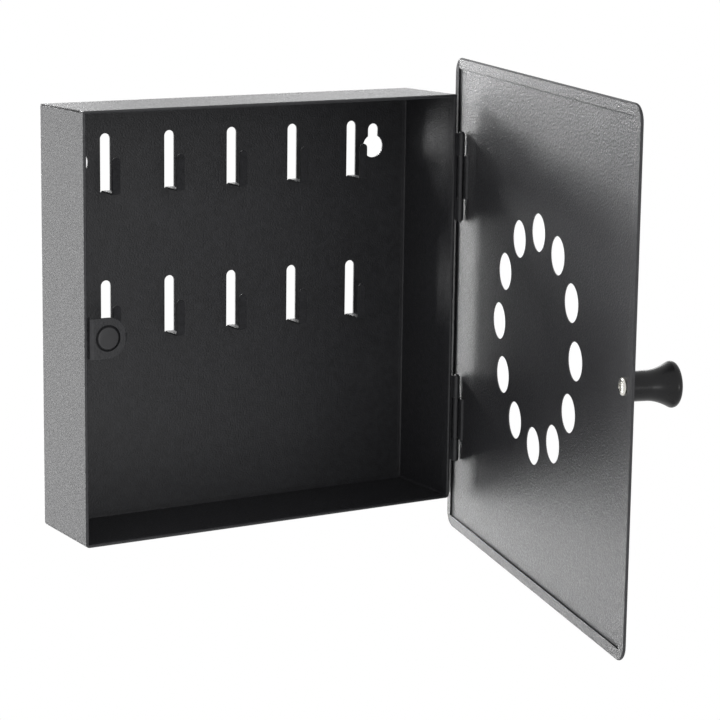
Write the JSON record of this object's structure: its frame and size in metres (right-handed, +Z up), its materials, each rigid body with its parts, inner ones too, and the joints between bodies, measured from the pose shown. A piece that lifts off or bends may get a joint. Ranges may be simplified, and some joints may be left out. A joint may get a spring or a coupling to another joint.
{
  "type": "key cabinet",
  "caption": "Wall-hung sheet-steel key cabinet with stamped key hooks, hanging keyholes and an overhanging hinged door with a ring of holes, a knob and a magnet catch.",
  "frame": {"origin": "on the wall plane, in the middle of the rear flange along the top of the box", "axes": "+X to the right of someone who faces the cabinet, +Y into the wall, +Z up"},
  "size_m": [0.2079, 0.2698, 0.2372],
  "materials": {
    "powder_coated_steel": "fine-grained satin black powder coat",
    "magnet": "matt black",
    "knob_plastic": "satin black moulded plastic",
    "plated_steel": "bright nickel plating"
  },
  "bodies": {
    "cabinet": {"housing": "powder_coated_steel", "back_panel": "powder_coated_steel", "magnet_bracket": "powder_coated_steel", "magnet": "magnet", "hinge_cabinet_leaf_lower": "powder_coated_steel", "hinge_cabinet_leaf_upper": "powder_coated_steel", "hinge_pin_lower": "powder_coated_steel", "hinge_pin_upper": "powder_coated_steel"},
    "door": {"door_panel": "powder_coated_steel", "hinge_door_knuckle_lower": "powder_coated_steel", "hinge_door_knuckle_upper": "powder_coated_steel", "knob": "knob_plastic", "knob_screw": "plated_steel"}
  },
  "joints": [
    {"name": "door_swing", "type": "hinge", "parent": "cabinet", "child": "door", "pos_m": [0.10195, -0.04985, -0.0959], "axis": [0, 0, 1], "range_deg": [-75.7, 24.3]}
  ]
}
